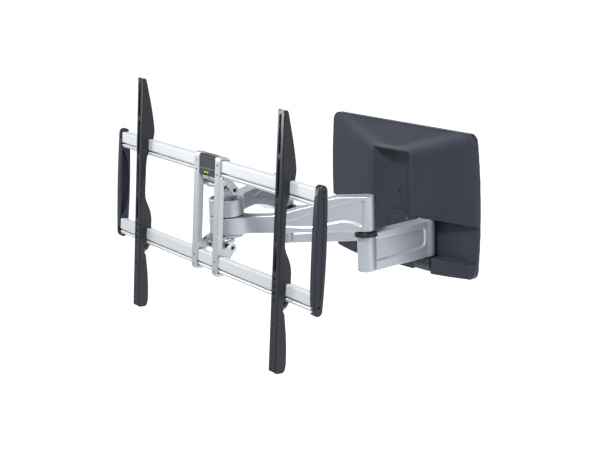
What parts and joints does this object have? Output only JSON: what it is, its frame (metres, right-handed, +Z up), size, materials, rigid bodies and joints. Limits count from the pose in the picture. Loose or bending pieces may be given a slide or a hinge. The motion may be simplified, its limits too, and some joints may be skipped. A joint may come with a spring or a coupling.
{
  "type": "full motion tv wall mount",
  "caption": "Dual-arm articulating wall mount: covered wall plate, folding silver arms, swivel hub, tilting rail frame with sliding latching brackets for a flat television.",
  "frame": {"origin": "centre of the steel wall plate's back face, on the wall plane", "axes": "+Y into the wall, the television faces -Y, +Z up, +X to the right as seen from the television side"},
  "size_m": [0.8592, 0.5491, 0.5157],
  "materials": {
    "cover": "satin charcoal moulded plastic with fine grain",
    "trim": "dark charcoal moulded plastic",
    "hidden_steel": "plain machined steel",
    "cast_silver": "silver metallic paint on die-cast metal",
    "black_nylon": "black nylon",
    "anodised_rail": "clear anodised extrusion with fine length-wise lines",
    "silver_paint": "light silver paint",
    "bracket_black": "satin black powder coat on steel",
    "zinc_screws": "zinc-plated fasteners",
    "vial_green": "clear yellow-green level fluid"
  },
  "bodies": {
    "wall": {"wall_cover": "cover", "cover_screw": "zinc_screws", "wall_plate_steel": "hidden_steel", "lag_bolt_1": "zinc_screws", "lag_bolt_2": "zinc_screws", "lag_bolt_3": "zinc_screws", "lag_bolt_4": "zinc_screws", "pivot_block_right": "trim", "pivot_block_left": "trim", "wall_pivot_pin_right": "hidden_steel", "wall_pivot_pin_left": "hidden_steel", "wall_washer_right": "black_nylon", "wall_washer_left": "black_nylon"},
    "right_lower": {"right_lower_link": "cast_silver", "right_elbow_ring": "black_nylon", "right_elbow_pin": "hidden_steel"},
    "right_upper": {"right_upper_link": "cast_silver", "hub_seam_washer": "black_nylon"},
    "left_lower": {"left_lower_link": "cast_silver", "left_elbow_ring": "black_nylon", "left_elbow_pin": "hidden_steel"},
    "left_upper": {"left_upper_link": "cast_silver"},
    "spindle": {"hub_spindle": "hidden_steel"},
    "head": {"head_neck": "silver_paint", "head_core": "hidden_steel", "head_yoke": "silver_paint", "head_nut": "zinc_screws"},
    "tv_frame": {"top_rail": "anodised_rail", "bottom_rail": "anodised_rail", "end_cap_right": "trim", "end_cap_left": "trim", "cap_screw_right_1": "zinc_screws", "cap_screw_right_2": "zinc_screws", "cap_screw_left_1": "zinc_screws", "cap_screw_left_2": "zinc_screws", "strut_right": "silver_paint", "strut_left": "silver_paint", "strut_screw_right_1": "zinc_screws", "strut_screw_right_2": "zinc_screws", "strut_screw_right_3": "zinc_screws", "strut_screw_right_4": "zinc_screws", "strut_screw_left_1": "zinc_screws", "strut_screw_left_2": "zinc_screws", "strut_screw_left_3": "zinc_screws", "strut_screw_left_4": "zinc_screws", "cross_tube": "silver_paint", "tilt_pin": "hidden_steel", "lower_tilt_pin": "zinc_screws", "centre_block": "trim", "level_vial": "vial_green"},
    "bracket_r": {"bracket_right": "bracket_black", "latch_pin_right": "zinc_screws"},
    "bracket_l": {"bracket_left": "bracket_black", "latch_pin_left": "zinc_screws"},
    "latch_r": {"latch_right": "black_nylon"},
    "latch_l": {"latch_left": "black_nylon"}
  },
  "joints": [
    {"name": "right_wall_pivot", "type": "hinge", "parent": "wall", "child": "right_lower", "pos_m": [0.102, -0.029, -0.08], "axis": [0, 0, 1], "range_deg": [-6, 72]},
    {"name": "right_elbow", "type": "hinge", "parent": "right_lower", "child": "right_upper", "pos_m": [0.11841, -0.21227, -0.035], "axis": [0, 0, 1], "range_deg": [-111.68, 9.76]},
    {"name": "hub_align", "type": "hinge", "parent": "right_upper", "child": "spindle", "pos_m": [-0.071, -0.4345, 0], "axis": [0, 0, 1], "range_deg": [-3.76, 39.68]},
    {"name": "left_wall_pivot", "type": "hinge", "parent": "wall", "child": "left_lower", "pos_m": [-0.102, -0.029, -0.08], "axis": [0, 0, 1], "range_deg": [-46.91, 4.37]},
    {"name": "left_elbow", "type": "hinge", "parent": "left_lower", "child": "left_upper", "pos_m": [-0.21021, -0.17782, -0.035], "axis": [0, 0, 1], "range_deg": [-8.23, 93.3]},
    {"name": "tv_swivel", "type": "hinge", "parent": "spindle", "child": "head", "pos_m": [-0.071, -0.4345, 0.04], "axis": [0, 0, 1], "range_deg": [-34.7, 16]},
    {"name": "tv_tilt", "type": "hinge", "parent": "head", "child": "tv_frame", "pos_m": [-0.0718, -0.44317, 0.06664], "axis": [-0.9957, 0.0924, 0], "range_deg": [-13.5, 0]},
    {"name": "right_bracket_slide", "type": "slide", "parent": "tv_frame", "child": "bracket_r", "axis": [0.9957, -0.0924, 0], "range_m": [-0.2, 0.08]},
    {"name": "left_bracket_slide", "type": "slide", "parent": "tv_frame", "child": "bracket_l", "axis": [0.9957, -0.0924, 0], "range_m": [-0.1, 0.2]},
    {"name": "right_latch", "type": "hinge", "parent": "bracket_r", "child": "latch_r", "pos_m": [0.23369, -0.52229, -0.11696], "axis": [0.9957, -0.0924, 0], "range_deg": [-70, 0]},
    {"name": "left_latch", "type": "hinge", "parent": "bracket_l", "child": "latch_l", "pos_m": [-0.36374, -0.46686, -0.11696], "axis": [0.9957, -0.0924, 0], "range_deg": [-70, 0]}
  ],
  "couplings": [
    {"joint": "right_elbow", "follows": "right_wall_pivot", "ratio": -1.5441},
    {"joint": "hub_align", "follows": "right_wall_pivot", "ratio": 0.5441},
    {"joint": "left_wall_pivot", "follows": "right_wall_pivot", "ratio": -0.6446},
    {"joint": "left_elbow", "follows": "right_wall_pivot", "ratio": 1.2889}
  ]
}
